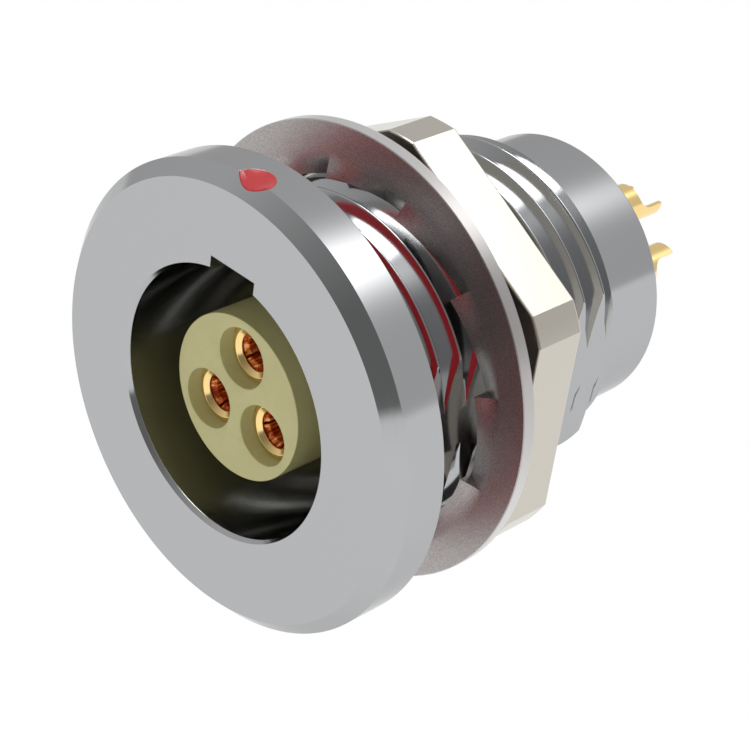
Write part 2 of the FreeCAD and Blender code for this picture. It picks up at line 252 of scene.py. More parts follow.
REAMED_BACK = 7.3
DOT_PLACE = -1.5
DOT_R = 0.73
DOT_POINT_ANGLE = 118.0
WELD_REACH = 2e-4
LEAST_EDGE = 1e-4
CUTTER_ROOM = 0.3
CUTTER_HAIR = 0.002
BOX_FACES = [(0, 1, 3, 2), (4, 6, 7, 5), (0, 4, 5, 1), (2, 3, 7, 6), (0, 2, 6, 4), (1, 5, 7, 3)]


def softened(outline, steps=4, margin=0.015):
    """Closed outline from (radius, y, corner radius) points, each corner an arc of a few steps.

    A point just outside each arc keeps the flats beside it flat in the light.
    """
    line = []
    for index, (radius, y, corner) in enumerate(outline):
        here = Vector((radius, y))
        if corner == 0:
            line.append((radius, y))
            continue
        before = (Vector(outline[index - 1][:2]) - here).normalized()
        after = (Vector(outline[(index + 1) % len(outline)][:2]) - here).normalized()
        half_angle = before.angle(after) / 2
        centre = here + (before + after).normalized() * corner / math.sin(half_angle)
        reach = corner / math.tan(half_angle)
        start = here + before * reach - centre
        end = here + after * reach - centre
        line.append(tuple(here + before * (reach + margin)))
        for step in range(steps + 1):
            spot = centre + start.slerp(end, step / steps).normalized() * corner
            line.append((spot.x, spot.y))
        line.append(tuple(here + after * (reach + margin)))
    return line


def closed_mesh(name, points, faces):
    """Mesh in metres from points in millimetres, welded, with its faces turned outwards."""
    mesh = bpy.data.meshes.new(name)
    mesh.from_pydata([Vector(point) * MM for point in points], [], faces)
    work = bmesh.new()
    work.from_mesh(mesh)
    bmesh.ops.remove_doubles(work, verts=work.verts, dist=WELD_REACH * MM)
    bmesh.ops.dissolve_degenerate(work, edges=work.edges, dist=LEAST_EDGE * MM)
    bmesh.ops.recalc_face_normals(work, faces=work.faces)
    work.to_mesh(mesh)
    work.free()
    return mesh


def skinned(name, columns, joined=True):
    """Closed skin over columns of (x, y, z) points that go round in a ring, each a closed line.

    Unjoined, the last column isn't linked with the first but lies on it and is welded to it.
    """
    rows = len(columns[0])
    points = [point for column in columns for point in column]
    faces = []
    for here in range(len(columns) if joined else len(columns) - 1):
        there = (here + 1) % len(columns)
        for row in range(rows):
            following = (row + 1) % rows
            faces.append((
                here * rows + row, here * rows + following,
                there * rows + following, there * rows + row,
            ))
    return closed_mesh(name, points, faces)


def on_circle(radius, y, degrees, centre=(0.0, 0.0)):
    """Point at a radius and an angle from +X towards +Z, about an axis along Y."""
    angle = math.radians(degrees)
    return (centre[0] + radius * math.cos(angle), y, centre[1] + radius * math.sin(angle))


def turned(name, outline, sides=160, centre=(0.0, 0.0)):
    """Solid turned from a closed outline of (radius, y) points."""
    step = 360.0 / sides
    columns = [
        [on_circle(radius, y, index * step, centre) for radius, y in outline]
        for index in range(sides)
    ]
    return skinned(name, columns)


def block(low, high):
    """Plain box between two corners, as a cutter."""
    spots = [
        (x, y, z)
        for x in (low[0], high[0]) for y in (low[1], high[1]) for z in (low[2], high[2])
    ]
    return closed_mesh("cutter", spots, BOX_FACES)


def machined(mesh, tools, operation="DIFFERENCE"):
    """Mesh with cutter meshes taken away from it, or kept only where they are."""
    for tool in tools:
        work = bpy.data.objects.new("work", mesh)
        cutter = bpy.data.objects.new("cutter", tool)
        for item in (work, cutter):
            bpy.context.collection.objects.link(item)
        cut = work.modifiers.new("cut", "BOOLEAN")
        cut.operation = operation
        cut.solver = "EXACT"
        cut.object = cutter
        graph = bpy.context.evaluated_depsgraph_get()
        mesh = bpy.data.meshes.new_from_object(work.evaluated_get(graph))
        bpy.data.objects.remove(work)
        bpy.data.objects.remove(cutter)
    return mesh


def fitted(name, mesh, finish, body, slot, *nodes, crease=35.0):
    """Finished piece at the origin, shaded smooth between its real edges, riding on its body."""
    mesh.name = name
    mesh.materials.clear()
    mesh.materials.append(finish)
    mesh.shade_smooth()
    mesh.set_sharp_from_angle(angle=math.radians(crease))
    piece = bpy.data.objects.new(name, mesh)
    bpy.context.collection.objects.link(piece)
    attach(piece, body)
    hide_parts(*nodes)
    return piece


def lined(piece, finish, inside):
    """Second finish on those faces of a piece whose middle lies in a given region."""
    piece.data.materials.append(finish)
    for face in piece.data.polygons:
        if inside(face.center / MM):
            face.material_index = 1


def new_finish(name, colour, metallic, roughness):
    """Material with one main shader: (material, its tree, the shader)."""
    finish = bpy.data.materials.new(name)
    finish.use_nodes = True
    tree = finish.node_tree
    tree.nodes.clear()
    shader = add_node(
        tree, "ShaderNodeBsdfPrincipled",
        {"Base Color": colour, "Metallic": metallic, "Roughness": roughness},
    )
    add_node(tree, "ShaderNodeOutputMaterial", {"Surface": shader.outputs[0]})
    return finish, tree, shader


def turning_marks(tree, fineness):
    """Fine rings left by the tool, a pattern of the distance from the axis and along it."""
    place = add_node(tree, "ShaderNodeTexCoord").outputs["Object"]
    split = add_node(tree, "ShaderNodeSeparateXYZ", {0: place})
    flat = add_node(
        tree, "ShaderNodeCombineXYZ", {"X": split.outputs["X"], "Y": split.outputs["Z"]}
    )
    radius = add_node(
        tree, "ShaderNodeVectorMath", {0: flat.outputs[0]}, operation="LENGTH"
    ).outputs["Value"]
    rings = add_node(tree, "ShaderNodeCombineXYZ", {"X": radius, "Y": split.outputs["Y"]})
    return add_node(
        tree, "ShaderNodeTexNoise", {"Vector": rings.outputs[0], "Scale": fineness, "Detail": 3.0}
    ).outputs["Fac"]


def relief(tree, shader, pattern, depth):
    """Bump of a real depth in millimetres from a pattern."""
    bump = add_node(
        tree, "ShaderNodeBump", {"Height": pattern, "Strength": 1.0, "Distance": depth * MM}
    )
    tree.links.new(bump.outputs["Normal"], shader.inputs["Normal"])


def textured(tree, shader, pattern, roughness, depth):
    """Roughness between two values and a relief of a depth, both from one pattern."""
    spread = between(tree, pattern, 0.0, 1.0, *roughness)
    tree.links.new(spread, shader.inputs["Roughness"])
    relief(tree, shader, pattern, depth)


def thread_crest(flat_r, middle):
    """Points from one thread root to the next over a crest, cut down where the flats are."""
    slope = math.tan(math.radians(FLANK_ANGLE))
    crest_end = math.radians(CREST_ANGLES[-1])
    shoulder_r = THREAD_R - CREST_ROUNDING * (1 - math.cos(crest_end))
    shoulder = CREST_ROUNDING * math.sin(crest_end)
    root_r = min(THREAD_ROOT_R, flat_r)
    root = shoulder + (shoulder_r - THREAD_ROOT_R) * slope
    if flat_r < shoulder_r:
        land = min(root, shoulder + (shoulder_r - flat_r) * slope)
        crest = [(flat_r, land * share) for share in LAND_SHARES]
        beside_r, beside = (root_r + flat_r) / 2, (root + land) / 2
    else:
        crest = []
        for angle in map(math.radians, CREST_ANGLES):
            radius = THREAD_R - CREST_ROUNDING * (1 - math.cos(angle))
            crest.append((min(radius, flat_r), CREST_ROUNDING * math.sin(angle)))
        beside_r, beside = shoulder_r - CREST_MARGIN, shoulder + CREST_MARGIN * slope
    line = [(root_r, -root), (beside_r, -beside)] + crest + [(beside_r, beside), (root_r, root)]
    return [(radius, middle + y) for radius, y in line]


def held_between(profile, low, high):
    """Thread profile cut off square at two places along the axis, with all its points kept."""
    def radius_at(y):
        for (near_r, near), (far_r, far) in zip(profile, profile[1:]):
            if near <= y <= far and far > near:
                return near_r + (far_r - near_r) * (y - near) / (far - near)
        return profile[-1][0]
    low_r, high_r = radius_at(low), radius_at(high)
    return [
        (low_r, low) if y < low else (high_r, high) if y > high else (radius, y)
        for radius, y in profile
    ]


def thread_column(degrees):
    """Thread profile at an angle round the barrel, moved along by the helix."""
    flat_r = FLAT_HALF_WIDTH / max(abs(math.cos(math.radians(degrees))), 0.01)
    start = FIRST_CREST - (degrees - FIRST_CREST_ANGLE) / 360.0 * THREAD_PITCH
    profile = []
    for turn in THREAD_TURNS:
        profile += thread_crest(flat_r, start + turn * THREAD_PITCH)
    return held_between(profile, 0.0, BARREL_END)


# The first point of each outline only gives the corner after it its direction.
flange_outline = softened([
    (MOUTH_R, FRONT_FACE, 0.0),
    (FLANGE_R - FLANGE_CHAMFER, FRONT_FACE, 0.02),
    (FLANGE_R, FRONT_FACE + FLANGE_CHAMFER, 0.0),
    (FLANGE_R, 0.0, 0.03),
    (BARREL_START_R, 0.0, 0.0),
], margin=0.008)[1:]
rear_outline = softened([
    (REAR_R + 0.1, BARREL_END, 0.0),
    (REAR_R, BARREL_END, 0.0),
    (REAR_R, SHELL_END - REAR_BEVEL, 0.05),
    (REAR_R - REAR_BEVEL, SHELL_END, 0.05),
    (CORE_BORE_R, SHELL_END, 0.03),
    (CORE_BORE_R, SHOULDER_BACK, 0.0),
    (SHOULDER_BORE_R, SHOULDER_BACK, 0.0),
    (SHOULDER_BORE_R, SHOULDER_FRONT, 0.03),
    (BORE_R, SHOULDER_FRONT, 0.0),
    (BORE_R, GROOVE_RUN_OUT, 0.0),
    (GROOVE_R, GROOVE_BACK, 0.0),
    (GROOVE_R, GROOVE_FRONT, 0.0),
    (BORE_R, GROOVE_FRONT, 0.02),
    (BORE_R, FRONT_FACE + MOUTH_DEPTH, 0.08),
    (MOUTH_R, FRONT_FACE, 0.0),
])[1:]
angles = [index * COLUMN_STEP for index in range(round(360 / COLUMN_STEP) + 1)]
for radius in (THREAD_R, THREAD_ROOT_R):
    edge = math.degrees(math.acos(FLAT_HALF_WIDTH / radius))
    angles += [edge, 180 - edge, 180 + edge, 360 - edge]
columns = []
for angle in sorted(set(round(angle, 4) for angle in angles)):
    outline = flange_outline + thread_column(angle) + rear_outline
    columns.append([on_circle(radius, y, angle) for radius, y in outline])
shell = skinned("outer_shell", columns, joined=False)
end_chamfer = turned("cutter", [
    (THREAD_R + CUTTER_ROOM, BARREL_END - BARREL_CHAMFER - CUTTER_ROOM),
    (THREAD_R + CUTTER_ROOM, BARREL_END + 0.1),
    (THREAD_R - BARREL_CHAMFER + CUTTER_HAIR, BARREL_END + 0.1),
    (THREAD_R - BARREL_CHAMFER + CUTTER_HAIR, BARREL_END - CUTTER_HAIR),
], sides=240)
keyway = block(
    (-KEYWAY_HALF_WIDTH, FRONT_FACE - 0.5, KEYWAY_BOTTOM),
    (KEYWAY_HALF_WIDTH, KEYWAY_END, KEYWAY_TOP),
)


def drill_point(raised):
    """Cone of the drill's point over the dimple, as a cutter, held off its bottom by a height."""
    depth = DOT_R / math.tan(math.radians(DOT_POINT_ANGLE / 2))
    sides = 96
    width = 2 * DOT_R
    top = FLANGE_R + depth + raised
    spots = [(0.0, DOT_PLACE, FLANGE_R - depth + raised)]
    for index in range(sides):
        turn = math.tau * index / sides
        spots.append((width * math.cos(turn), DOT_PLACE + width * math.sin(turn), top))
    sides_of_cone = [(0, 1 + index, 1 + (index + 1) % sides) for index in range(sides)]
    return closed_mesh("cutter", spots, sides_of_cone + [tuple(range(1, sides + 1))])


shell = machined(shell, [end_chamfer, keyway, drill_point(0.0)])

satin_chrome, tree, shader = new_finish("satin_chrome", CHROME, metallic=1.0, roughness=0.12)
marks = turning_marks(tree, fineness=9000.0)
textured(tree, shader, marks, roughness=(0.09, 0.15), depth=0.0004)
shader.inputs["Specular Tint"].default_value = CHROME_EDGE_ON
shell_body = fitted(
    "shell_body", shell, satin_chrome, "shell", "satin_chrome", "outer_shell", crease=24.0
)


def in_the_bore(spot):
    """Whether a place is on the reamed bore, its keyway or the shoulder at its end."""
    return math.hypot(spot.x, spot.z) < REAMED_R and REAMED_FRONT < spot.y < REAMED_BACK


reamed_chrome, tree, shader = new_finish(
    "reamed_chrome", REAMED_CHROME, metallic=1.0, roughness=0.16
)
marks = turning_marks(tree, fineness=7000.0)
textured(tree, shader, marks, roughness=(0.13, 0.20), depth=0.0006)
lined(shell_body, reamed_chrome, in_the_bore)

# Alignment dot
# Red enamel that coats the dimple of a drill's point on the edge of the chamfer, level with the
# metal round its edge. It shows which way up the plug goes in.
DOT_RED = (0.40, 0.014, 0.018, 1.0)
DOT_COAT = 0.05
DOT_LIFT = 0.002
DOT_SUNK = 0.001
FORM_BORE_R = 5.5


def speckle(tree, fineness, detail):
    """Fine grain all over, a pattern of the place on the piece."""
    place = add_node(tree, "ShaderNodeTexCoord").outputs["Object"]
    return add_node(
        tree, "ShaderNodeTexNoise", {"Vector": place, "Scale": fineness, "Detail": detail}
    ).outputs["Fac"]


flange_form = turned("flange_form", softened([
    (FORM_BORE_R, FRONT_FACE + DOT_SUNK, 0.0),
    (FLANGE_R - FLANGE_CHAMFER, FRONT_FACE + DOT_SUNK, 0.02),
    (FLANGE_R - DOT_SUNK, FRONT_FACE + FLANGE_CHAMFER, 0.0),
    (FLANGE_R - DOT_SUNK, 0.0, 0.03),
    (FORM_BORE_R, 0.0, 0.0),
], margin=0.008), sides=480)
dot = machined(drill_point(DOT_LIFT), [flange_form], "INTERSECT")
dot = machined(dot, [drill_point(DOT_COAT)])
enamel, tree, shader = new_finish("red_enamel", DOT_RED, metallic=0.0, roughness=0.16)
shader.inputs["Coat Weight"].default_value = 0.25
shader.inputs["Coat Roughness"].default_value = 0.15
relief(tree, shader, speckle(tree, fineness=1800.0, detail=2.0), depth=0.002)
fitted("red_dot", dot, enamel, "shell", "red_paint", "alignment_dot")

# Flange seal
# Flat moulded gasket of red silicone rubber between the flange and the panel.
# It is stretched over the thread and lies in the corner behind the flange.
SEAL_RED = (0.58, 0.012, 0.024, 1.0)
SEAL_BORE_R = 6.05
SEAL_R = 7.3
SEAL_FRONT = 0.02
SEAL_BACK = 0.5

seal = turned("seal", softened([
    (SEAL_BORE_R, SEAL_FRONT, 0.06),
    (SEAL_BORE_R, SEAL_BACK, 0.08),
    (SEAL_R, SEAL_BACK, 0.1),
    (SEAL_R, SEAL_FRONT, 0.06),
]))
silicone, tree, shader = new_finish("red_silicone", SEAL_RED, metallic=0.0, roughness=0.42)
grain = speckle(tree, fineness=7000.0, detail=4.0)
textured(tree, shader, grain, roughness=(0.34, 0.50), depth=0.004)
fitted("seal", seal, silicone, "shell", "red_rubber", "flange_seal")

# Lock washer
# Punched from sheet bronze, nickel plated with a grainy skin. Twelve inner teeth are twisted,
# so that one corner of each bites the panel and the other the nut.
WASHER_COLOUR = (0.44, 0.420, 0.412, 1.0)
WASHER_DARK = (0.27, 0.256, 0.250, 1.0)
WASHER_LIGHT = (0.61, 0.579, 0.567, 1.0)
WASHER_EDGE_ON = (0.68, 0.665, 0.66, 1.0)
WASHER_R = 8.0
WASHER_BACK = 4.1
WASHER_THICKNESS = 0.5
WASHER_ROOT_R = 6.95
WASHER_TIP_R = 6.14
WASHER_TEETH = 12
RIM_BEVEL = 0.03
RIM_R = 7.978
RING_RADII = [WASHER_R, WASHER_R - RIM_BEVEL, 7.5, 7.1, WASHER_ROOT_R]
TOOTH_SLIT = 0.06
TOOTH_LIFT = 0.27
TOOTH_ROWS = 10
TOOTH_STEPS = 12


def around_the_axis(name, mesh, count, finish):
    """One plain mesh of copies of a piece set evenly round the connector's axis."""
    tree = bpy.data.node_groups.new(name, "GeometryNodeTree")
    tree.interface.new_socket("Piece", in_out="INPUT", socket_type="NodeSocketGeometry")
    number = tree.interface.new_socket("Count", in_out="INPUT", socket_type="NodeSocketInt")
    coat = tree.interface.new_socket("Finish", in_out="INPUT", socket_type="NodeSocketMaterial")
    tree.interface.new_socket("Ring", in_out="OUTPUT", socket_type="NodeSocketGeometry")
    given = add_node(tree, "NodeGroupInput")
    step = reckon(tree, "DIVIDE", math.tau, given.outputs["Count"])
    turn = reckon(tree, "MULTIPLY", add_node(tree, "GeometryNodeInputIndex").outputs[0], step)
    places = add_node(tree, "GeometryNodePoints", {"Count": given.outputs["Count"]})
    turning = add_node(tree, "ShaderNodeCombineXYZ", {"Y": turn})
    copies = add_node(tree, "GeometryNodeInstanceOnPoints", {
        "Points": places.outputs[0], "Instance": given.outputs["Piece"],
        "Rotation": turning.outputs[0],
    })
    real = add_node(tree, "GeometryNodeRealizeInstances", {"Geometry": copies.outputs[0]})
    joined = add_node(tree, "GeometryNodeMergeByDistance", {
        "Geometry": real.outputs[0], "Distance": 5e-4 * MM,
    })
    coated = add_node(tree, "GeometryNodeSetMaterial", {
        "Geometry": joined.outputs[0], "Material": given.outputs["Finish"],
    })
    add_node(tree, "NodeGroupOutput", {"Ring": coated.outputs[0]})
    work = bpy.data.objects.new(name, mesh)
    bpy.context.collection.objects.link(work)
    ring = work.modifiers.new("ring", "NODES")
    ring.node_group = tree
    ring[number.identifier] = count
    ring[coat.identifier] = finish
    graph = bpy.context.evaluated_depsgraph_get()
    made = bpy.data.meshes.new_from_object(work.evaluated_get(graph))
    bpy.data.objects.remove(work)
    return made


def sheet_faces(rows, steps, loose_from):
    """Faces of a sheet from the points of its two sides, each in rows that run across it.

    Both ends are closed, and the edges along it from one row on: up to there it joins a copy.
    """
    row_length = steps + 1
    layer = row_length * rows
    faces = []
    for start in (0, layer):
        for row in range(rows - 1):
            for index in range(steps):
                spot = start + row * row_length + index
                faces.append((spot, spot + 1, spot + row_length + 1, spot + row_length))
    for index in range(steps):
        for row in (0, rows - 1):
            spot = row * row_length + index
            faces.append((spot, spot + 1, layer + spot + 1, layer + spot))
    for row in range(loose_from, rows - 1):
        for edge in (0, steps):
            near = row * row_length + edge
            far = near + row_length
            faces.append((near, far, layer + far, layer + near))
    return faces


def toned(tree, shader, pattern, *tones):
    """Colour that follows a pattern through tones, each a (place on the pattern, colour)."""
    shade = add_node(tree, "ShaderNodeValToRGB", {"Fac": pattern})
    ramp = shade.color_ramp.elements
    for element, (place, colour) in zip(ramp, (tones[0], tones[-1])):
        element.position = place
        element.color = colour
    for place, colour in tones[1:-1]:
        ramp.new(place).color = colour
    tree.links.new(shade.outputs["Color"], shader.inputs["Base Color"])


def tooth_lift(radius, across, width):
    """How far a tooth is bent along the axis: nothing at the root, most at the tip's corners."""
    share = min(max((WASHER_ROOT_R - radius) / (WASHER_ROOT_R - WASHER_TIP_R), 0.0), 1.0)
    eased = share * share * (2 - share)
    return -TOOTH_LIFT * across / width * eased


half_sector = math.radians(180.0 / WASHER_TEETH)
tooth_length = WASHER_ROOT_R - WASHER_TIP_R
tooth_radii = [
    WASHER_ROOT_R - tooth_length * index / TOOTH_ROWS for index in range(TOOTH_ROWS + 1)
]
shares = [2 * index / TOOTH_STEPS - 1 for index in range(TOOTH_STEPS + 1)]
points = []
for side, level in ((1, WASHER_BACK), (-1, WASHER_BACK - WASHER_THICKNESS)):
    for radius in RING_RADII:
        bevel = side * RIM_BEVEL if radius == WASHER_R else 0.0
        for share in shares:
            angle = share * half_sector
            points.append((radius * math.cos(angle), level - bevel, radius * math.sin(angle)))
    for radius in tooth_radii:
        width = radius * math.tan(half_sector) - TOOTH_SLIT / 2
        for share in shares:
            across = share * width
            y = level + tooth_lift(radius, across, width)
            points.append((math.sqrt(radius ** 2 - across ** 2), y, across))
faces = sheet_faces(
    len(RING_RADII) + len(tooth_radii), TOOTH_STEPS, loose_from=len(RING_RADII) - 1
)
plated_bronze, tree, shader = new_finish(
    "plated_bronze", WASHER_COLOUR, metallic=1.0, roughness=0.3
)
grain = speckle(tree, fineness=28000.0, detail=1.0)
toned(tree, shader, grain, (0.25, WASHER_DARK), (0.75, WASHER_LIGHT))
textured(tree, shader, grain, roughness=(0.32, 0.42), depth=0.0015)
washer = around_the_axis(
    "lock_washer_ring", closed_mesh("tooth", points, faces), WASHER_TEETH, plated_bronze
)
toothed_washer = fitted(
    "toothed_washer", washer, plated_bronze, "washer", "washer_bronze", "lock_washer"
)


def on_the_rim(spot):
    """Whether a place is on the washer's sheared outer edge."""
    return math.hypot(spot.x, spot.z) > RIM_R


sheared_edge, tree, shader = new_finish(
    "sheared_edge", WASHER_COLOUR, metallic=1.0, roughness=0.3
)
marks = turning_marks(tree, fineness=12000.0)
textured(tree, shader, marks, roughness=(0.26, 0.34), depth=0.0006)
facing = add_node(tree, "ShaderNodeLayerWeight", {"Blend": 0.5}).outputs["Facing"]
toned(tree, shader, facing, (0.24, WASHER_COLOUR), (0.60, WASHER_EDGE_ON))
lined(toothed_washer, sheared_edge, on_the_rim)

# Hexagon nut
# Thin nut milled from brass bar, its six corners turned down a little, bright nickel plated.
# It screws along the barrel and clamps the panel between the washer and the flange's seal.
NUT_NICKEL = (0.62, 0.585, 0.52, 1.0)
NUT_FRONT = 4.83
NUT_THICKNESS = 2.0
NUT_HALF_ACROSS = 7.0
NUT_CORNER_R = 7.79
NUT_BORE_R = 6.05
NUT_BORE_BEVEL = 0.25
NUT_BEVEL = 0.06
BEVEL_MARGIN = 0.02
FLAT_STEPS = 10
CORNER_STEPS = 5

corner_start = math.degrees(math.acos(NUT_HALF_ACROSS / NUT_CORNER_R))
spread = [corner_start * step / FLAT_STEPS for step in range(-FLAT_STEPS, FLAT_STEPS + 1)]
turned_part = [
    corner_start + (60 - 2 * corner_start) * step / CORNER_STEPS for step in range(1, CORNER_STEPS)
]
nut_back = NUT_FRONT + NUT_THICKNESS
bevel_middle = NUT_BEVEL * 0.29
nut_columns = []
for flat in range(6):
    for offset in spread + turned_part:
        on_flat = abs(offset) <= corner_start + 1e-6
        reach = NUT_HALF_ACROSS / math.cos(math.radians(offset)) if on_flat else NUT_CORNER_R
        line = [
            (NUT_BORE_R + NUT_BORE_BEVEL, NUT_FRONT),
            (NUT_BORE_R, NUT_FRONT + NUT_BORE_BEVEL),
            (NUT_BORE_R, nut_back - NUT_BORE_BEVEL),
            (NUT_BORE_R + NUT_BORE_BEVEL, nut_back),
            (reach - NUT_BEVEL - BEVEL_MARGIN, nut_back),
            (reach - NUT_BEVEL, nut_back),
            (reach - bevel_middle, nut_back - bevel_middle),
            (reach, nut_back - NUT_BEVEL),
            (reach, nut_back - NUT_BEVEL - BEVEL_MARGIN),
            (reach, NUT_FRONT + NUT_BEVEL + BEVEL_MARGIN),
            (reach, NUT_FRONT + NUT_BEVEL),
            (reach - bevel_middle, NUT_FRONT + bevel_middle),
            (reach - NUT_BEVEL, NUT_FRONT),
            (reach - NUT_BEVEL - BEVEL_MARGIN, NUT_FRONT),
        ]
        nut_columns.append([on_circle(radius, y, 60.0 * flat + offset) for radius, y in line])
nickel, tree, shader = new_finish("bright_nickel", NUT_NICKEL, metallic=1.0, roughness=0.2)
grain = speckle(tree, fineness=5000.0, detail=4.0)
textured(tree, shader, grain, roughness=(0.16, 0.24), depth=0.0006)
fitted("nut", skinned("nut", nut_columns), nickel, "nut", "nut_nickel", "hex_nut", crease=20.0)

# Earthing crown
# Ring of spring brass with eight fingers that grip the plug's sleeve and carry the screen.
# It is pressed into the bore against the shoulder, its fingers towards the mouth.
CROWN_COLOUR = (0.45, 0.43, 0.39, 1.0)
CROWN_R = 4.57
CROWN_WALL = 0.2
CROWN_BACK = 6.57
CROWN_RING_FRONT = 5.97
CROWN_TIP = 4.87
CROWN_LEAN = 0.15
CROWN_FINGERS = 8
CROWN_SLOT = 0.4
FINGER_ROWS = 10
FINGER_STEPS = 10

ring_middle = (CROWN_BACK + CROWN_RING_FRONT) / 2
crown_rows = [(CROWN_BACK, 0.0), (ring_middle, 0.0), (CROWN_RING_FRONT, 0.0)]
slot_row = len(crown_rows)
for index in range(1, FINGER_ROWS + 1):
    share = index / FINGER_ROWS
    y = CROWN_RING_FRONT + (CROWN_TIP - CROWN_RING_FRONT) * share
    crown_rows.append((y, CROWN_LEAN * share * share))
points = []
for wall in (0.0, CROWN_WALL):
    for row, (y, bow) in enumerate(crown_rows):
        radius = CROWN_R - wall - bow
        half_angle = 180.0 / CROWN_FINGERS
        if row >= slot_row:
            half_angle -= math.degrees(math.asin(CROWN_SLOT / 2 / radius))
        for index in range(FINGER_STEPS + 1):
            points.append(on_circle(radius, y, half_angle * (2 * index / FINGER_STEPS - 1)))
faces = sheet_faces(len(crown_rows), FINGER_STEPS, loose_from=slot_row - 1)
spring_brass, tree, shader = new_finish(
    "plated_spring_brass", CROWN_COLOUR, metallic=1.0, roughness=0.22
)
marks = turning_marks(tree, fineness=6000.0)
textured(tree, shader, marks, roughness=(0.18, 0.28), depth=0.0005)
finger = closed_mesh("finger", points, faces)
crown = around_the_axis("crown_ring", finger, CROWN_FINGERS, spring_brass)
fitted("crown", crown, spring_brass, "shell", "nickel_brass", "earthing_crown")

# Insulating core
# Two machined halves of cream engineering plastic that trap the contacts' collars between them.
# The front half's nose stands in the plug bore, with a flared well round each contact.
CORE_CREAM = (0.50, 0.465, 0.212, 1.0)
CREAM_DARK = (0.470, 0.437, 0.196, 1.0)
CREAM_LIGHT = (0.530, 0.493, 0.228, 1.0)
CORE_FRONT = -1.22
CORE_SPLIT = 9.22
CORE_COLLAR_R = 4.17
CORE_COLLAR_FRONT = 8.06
CORE_COLLAR_BACK = 11.6
NOSE_R = 2.85
NOSE_END = 6.2
CORE_NECK_R = 3.34
CORE_TAIL_R = 3.16
CORE_END = 13.9
WELL_R = 1.03
WELL_END = 3.84
CONTACT_HOLE_R = 0.88
CONTACT_PITCH_R = 1.5
CONTACT_COUNT = 3
COLLAR_R = 1.15
COLLAR_ROOM = 0.03
COLLAR_HOLE_END = 10.48
HOLE_PAST = 0.2

contact_places = []
for index in range(CONTACT_COUNT):
    x, _, z = on_circle(CONTACT_PITCH_R, 0.0, 90.0 + 360.0 / CONTACT_COUNT * index)
    contact_places.append((x, z))
core_front = turned("core_front", softened([
    (0.0, CORE_FRONT, 0.0),
    (NOSE_R, CORE_FRONT, 0.03),
    (NOSE_R, NOSE_END, 0.0),
    (CORE_NECK_R, NOSE_END, 0.05),
    (CORE_NECK_R, CORE_COLLAR_FRONT, 0.0),
    (CORE_COLLAR_R, CORE_COLLAR_FRONT, 0.05),
    (CORE_COLLAR_R, CORE_SPLIT, 0.05),
    (0.0, CORE_SPLIT, 0.0),
]), sides=128)
front_well = [
    (0.0, CORE_FRONT - HOLE_PAST),
    (WELL_R + 0.25, CORE_FRONT - HOLE_PAST),
    (WELL_R + 0.05, CORE_FRONT),
    (WELL_R + 0.012, CORE_FRONT + 0.015),
    (WELL_R, CORE_FRONT + 0.06),
    (WELL_R, WELL_END),
    (CONTACT_HOLE_R, WELL_END),
    (CONTACT_HOLE_R, CORE_SPLIT + HOLE_PAST),
    (0.0, CORE_SPLIT + HOLE_PAST),
]
core_back = turned("core_back", softened([
    (0.0, CORE_SPLIT, 0.0),
    (CORE_COLLAR_R, CORE_SPLIT, 0.05),
    (CORE_COLLAR_R, CORE_COLLAR_BACK, 0.05),
    (CORE_TAIL_R, CORE_COLLAR_BACK, 0.0),
    (CORE_TAIL_R, CORE_END, 0.1),
    (0.0, CORE_END, 0.0),
]), sides=128)
rear_well = [
    (0.0, CORE_SPLIT - HOLE_PAST),
    (COLLAR_R + COLLAR_ROOM, CORE_SPLIT - HOLE_PAST),
    (COLLAR_R + COLLAR_ROOM, COLLAR_HOLE_END),
    (CONTACT_HOLE_R, COLLAR_HOLE_END),
    (CONTACT_HOLE_R, CORE_END - 0.03),
    (CONTACT_HOLE_R + 0.04, CORE_END + 0.02),
    (CONTACT_HOLE_R + 0.04, CORE_END + HOLE_PAST),
    (0.0, CORE_END + HOLE_PAST),
]
cream_plastic, tree, shader = new_finish(
    "cream_plastic", CORE_CREAM, metallic=0.0, roughness=0.4
)
marks = turning_marks(tree, fineness=5000.0)
cloud = speckle(tree, fineness=900.0, detail=5.0)
mottle = reckon(tree, "MULTIPLY", reckon(tree, "ADD", marks, cloud), 0.5)
toned(tree, shader, mottle, (0.3, CREAM_DARK), (0.7, CREAM_LIGHT))
textured(tree, shader, marks, roughness=(0.36, 0.46), depth=0.0015)
for name, half_core, well, node in (
    ("core_front", core_front, front_well, "front_insulator"),
    ("core_back", core_back, rear_well, "rear_insulator"),
):
    wells = [turned("cutter", well, 72, place) for place in contact_places]
    drilled = machined(half_core, wells)
    fitted(name, drilled, cream_plastic, "shell", "core_plastic", node)

# Core seal
# Black rubber ring squeezed between the shell's shoulder and the core's collar.
# It keeps water from passing through the connector along the core.
RUBBER_BLACK = (0.012, 0.012, 0.013, 1.0)
RING_MIDDLE_R = 3.77
RING_SECTION_R = 0.4
RING_PLACE = 7.63
RING_STEPS = 20

ring_outline = []
for index in range(RING_STEPS):
    turn = math.tau * index / RING_STEPS
    ring_outline.append((
        RING_MIDDLE_R + RING_SECTION_R * math.cos(turn),
        RING_PLACE + RING_SECTION_R * math.sin(turn),
    ))
core_seal = turned("core_seal", ring_outline, sides=96)
black_rubber, tree, shader = new_finish(
    "black_rubber", RUBBER_BLACK, metallic=0.0, roughness=0.45
)
grain = speckle(tree, fineness=7000.0, detail=3.0)
textured(tree, shader, grain, roughness=(0.4, 0.55), depth=0.003)
fitted("core_seal", core_seal, black_rubber, "shell", "black_rubber", "insert_o_ring")

# Retaining ring
# Nickel plated brass ring screwed into the rear bore behind the core.
# Two slots across its back take the spanner that tightens it.
RETAINER_BORE_R = 3.19
RETAINER_R = 4.17
RETAINER_FRONT = 11.6
RETAINER_BACK = 13.2
SPANNER_SLOT_FRONT = 12.6
SPANNER_SLOT_HALF_WIDTH = 0.5

